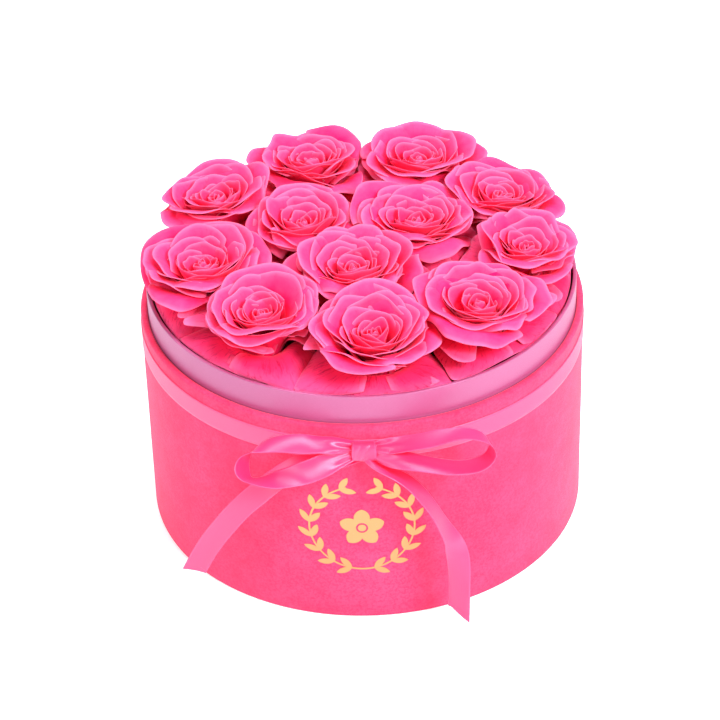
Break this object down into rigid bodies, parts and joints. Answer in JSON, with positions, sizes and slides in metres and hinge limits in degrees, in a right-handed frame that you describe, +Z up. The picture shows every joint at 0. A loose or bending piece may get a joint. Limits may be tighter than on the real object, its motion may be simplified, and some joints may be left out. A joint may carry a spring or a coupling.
{
  "type": "flower box",
  "caption": "Round velvet-covered gift box with a raised lid collar, satin bow and foil emblem, holding preserved rose heads on short stems pushed into floral foam.",
  "frame": {"origin": "centre of the underside, on the resting plane", "axes": "+Z up along the box's axis, the bow and emblem face -Y, +X to the right seen from the front"},
  "size_m": [0.2407, 0.2612, 0.1725],
  "materials": {
    "board": "matte",
    "paper": "matte",
    "velvet": "matte",
    "lilac_satin": "satin",
    "pink_satin": "satin",
    "gold_foil": "gloss",
    "foam": "matte",
    "petals": "matte",
    "guard_petals": "matte",
    "stem": "matte"
  },
  "bodies": {
    "box": {"base_cover": "paper", "base_board": "board", "outer_wall": "board", "velvet_wrap": "velvet", "inner_collar": "board", "collar_ribbon": "lilac_satin", "floral_foam": "foam", "waist_ribbon": "pink_satin", "bow_knot": "pink_satin", "bow_loop_left": "pink_satin", "bow_loop_right": "pink_satin", "bow_tail_left": "pink_satin", "bow_tail_right": "pink_satin", "foil_emblem": "gold_foil"},
    "rose_01": {"rose_01_bloom": "petals", "rose_01_guard_petals": "guard_petals", "rose_01_stem": "stem"},
    "rose_02": {"rose_02_bloom": "petals", "rose_02_guard_petals": "guard_petals", "rose_02_stem": "stem"},
    "rose_03": {"rose_03_bloom": "petals", "rose_03_guard_petals": "guard_petals", "rose_03_stem": "stem"},
    "rose_04": {"rose_04_bloom": "petals", "rose_04_guard_petals": "guard_petals", "rose_04_stem": "stem"},
    "rose_05": {"rose_05_bloom": "petals", "rose_05_guard_petals": "guard_petals", "rose_05_stem": "stem"},
    "rose_06": {"rose_06_bloom": "petals", "rose_06_guard_petals": "guard_petals", "rose_06_stem": "stem"},
    "rose_07": {"rose_07_bloom": "petals", "rose_07_guard_petals": "guard_petals", "rose_07_stem": "stem"},
    "rose_08": {"rose_08_bloom": "petals", "rose_08_guard_petals": "guard_petals", "rose_08_stem": "stem"},
    "rose_09": {"rose_09_bloom": "petals", "rose_09_guard_petals": "guard_petals", "rose_09_stem": "stem"},
    "rose_10": {"rose_10_bloom": "petals", "rose_10_guard_petals": "guard_petals", "rose_10_stem": "stem"},
    "rose_11": {"rose_11_bloom": "petals", "rose_11_guard_petals": "guard_petals", "rose_11_stem": "stem"},
    "rose_12": {"rose_12_bloom": "petals", "rose_12_guard_petals": "guard_petals", "rose_12_stem": "stem"}
  },
  "joints": [
    {"name": "rose_01_pull", "type": "slide", "parent": "box", "child": "rose_01", "axis": [0, 0, 1], "range_m": [0, 0.12]},
    {"name": "rose_02_pull", "type": "slide", "parent": "box", "child": "rose_02", "axis": [0, 0, 1], "range_m": [0, 0.12]},
    {"name": "rose_03_pull", "type": "slide", "parent": "box", "child": "rose_03", "axis": [0, 0, 1], "range_m": [0, 0.12]},
    {"name": "rose_04_pull", "type": "slide", "parent": "box", "child": "rose_04", "axis": [0, 0, 1], "range_m": [0, 0.12]},
    {"name": "rose_05_pull", "type": "slide", "parent": "box", "child": "rose_05", "axis": [0, 0, 1], "range_m": [0, 0.12]},
    {"name": "rose_06_pull", "type": "slide", "parent": "box", "child": "rose_06", "axis": [0, 0, 1], "range_m": [0, 0.12]},
    {"name": "rose_07_pull", "type": "slide", "parent": "box", "child": "rose_07", "axis": [0, 0, 1], "range_m": [0, 0.12]},
    {"name": "rose_08_pull", "type": "slide", "parent": "box", "child": "rose_08", "axis": [0, 0, 1], "range_m": [0, 0.12]},
    {"name": "rose_09_pull", "type": "slide", "parent": "box", "child": "rose_09", "axis": [0, 0, 1], "range_m": [0, 0.12]},
    {"name": "rose_10_pull", "type": "slide", "parent": "box", "child": "rose_10", "axis": [0, 0, 1], "range_m": [0, 0.12]},
    {"name": "rose_11_pull", "type": "slide", "parent": "box", "child": "rose_11", "axis": [0, 0, 1], "range_m": [0, 0.12]},
    {"name": "rose_12_pull", "type": "slide", "parent": "box", "child": "rose_12", "axis": [0, 0, 1], "range_m": [0, 0.12]}
  ]
}
